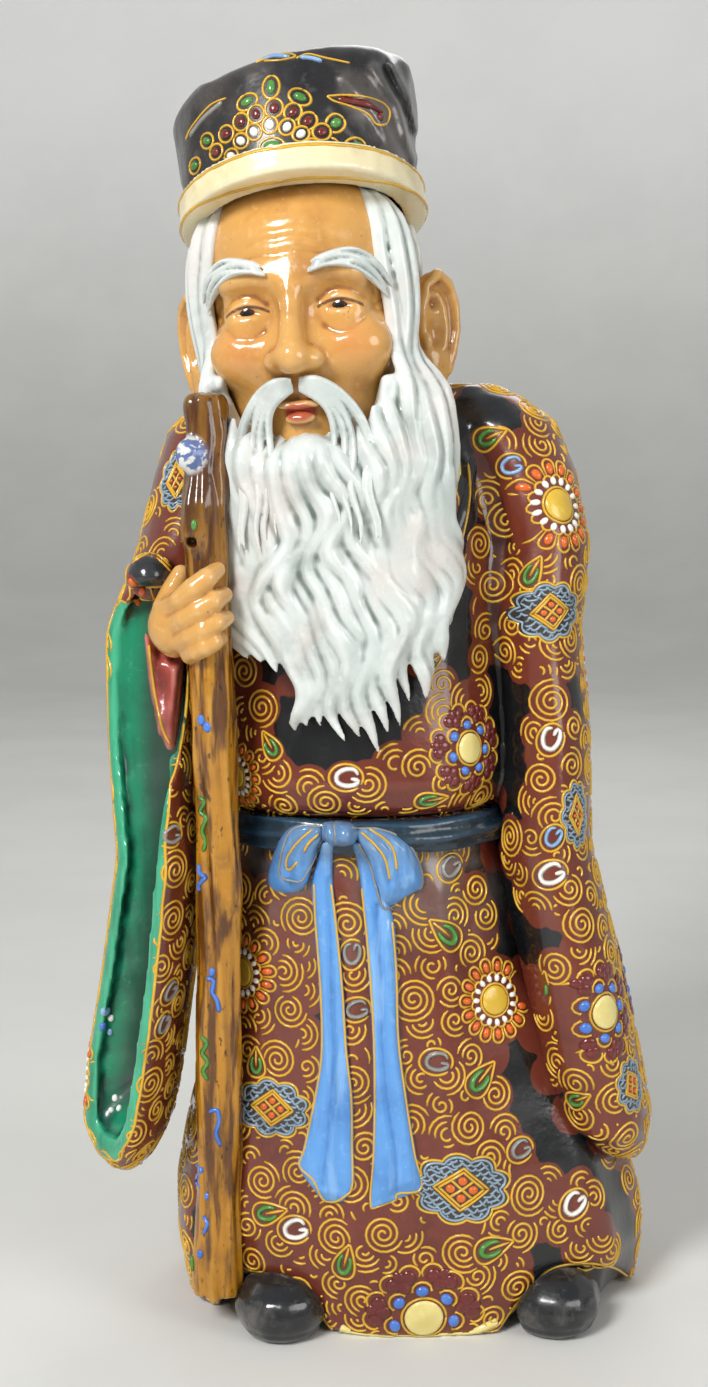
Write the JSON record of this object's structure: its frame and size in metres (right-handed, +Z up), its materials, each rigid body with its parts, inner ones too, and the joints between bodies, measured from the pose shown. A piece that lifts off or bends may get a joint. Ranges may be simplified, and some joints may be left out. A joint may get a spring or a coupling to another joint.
{
  "type": "glazed pottery figure of an old sage",
  "caption": "Standing glazed pottery figure of a bearded old sage in a cap and a slip-trailed brocade robe, leaning on a knotted staff; hollow, open at the foot, for display on a shelf.",
  "frame": {"origin": "on the floor, under the middle of the figure's box", "axes": "+Z up, the figure faces -Y, its right hand is on the -X side"},
  "size_m": [0.1658, 0.1054, 0.3543],
  "materials": {
    "robe_glaze": "glossy red-brown glaze",
    "black_glaze": "glossy black glaze",
    "cream_glaze": "glossy cream glaze",
    "sash_glaze": "glossy dark teal glaze",
    "ribbon_glaze": "glossy light blue glaze",
    "undersleeve_glaze": "glossy red glaze",
    "lining_glaze": "glossy green glaze",
    "skin_glaze": "glossy ochre glaze",
    "hair_glaze": "glossy white glaze with grey hollows",
    "cap_glaze": "pewter-black glaze with a dull metallic sheen",
    "staff_glaze": "glossy amber glaze with brown streaks",
    "gold_slip": "raised yellow slip trails",
    "white_enamel": "raised white enamel",
    "orange_enamel": "raised orange enamel",
    "green_enamel": "raised green enamel",
    "blue_enamel": "raised blue enamel",
    "yellow_enamel": "raised pale yellow enamel",
    "red_enamel": "raised dark red enamel",
    "brocade_enamel": "raised blue-grey enamel"
  },
  "bodies": {
    "root": {"skirt": "robe_glaze", "bodice": "robe_glaze", "collar_band": "black_glaze", "under_collar": "cream_glaze", "sash": "sash_glaze", "bow_knot": "ribbon_glaze", "bow_loop_right": "ribbon_glaze", "bow_loop_left": "ribbon_glaze", "bow_tail_right": "ribbon_glaze", "bow_tail_left": "ribbon_glaze", "staff": "staff_glaze", "hand": "skin_glaze", "under_sleeve": "undersleeve_glaze", "sleeve_right": "robe_glaze", "sleeve_left": "robe_glaze", "shoe_right": "black_glaze", "shoe_left": "black_glaze", "beard": "hair_glaze", "head": "skin_glaze", "cap_crown": "cap_glaze", "cap_band": "cream_glaze", "moustache": "hair_glaze", "back_hair": "hair_glaze", "ear_right": "skin_glaze", "ear_left": "skin_glaze", "temple_hair_right": "hair_glaze", "temple_hair_left": "hair_glaze", "eyebrow_right": "hair_glaze", "eyebrow_left": "hair_glaze"}
  },
  "joints": []
}
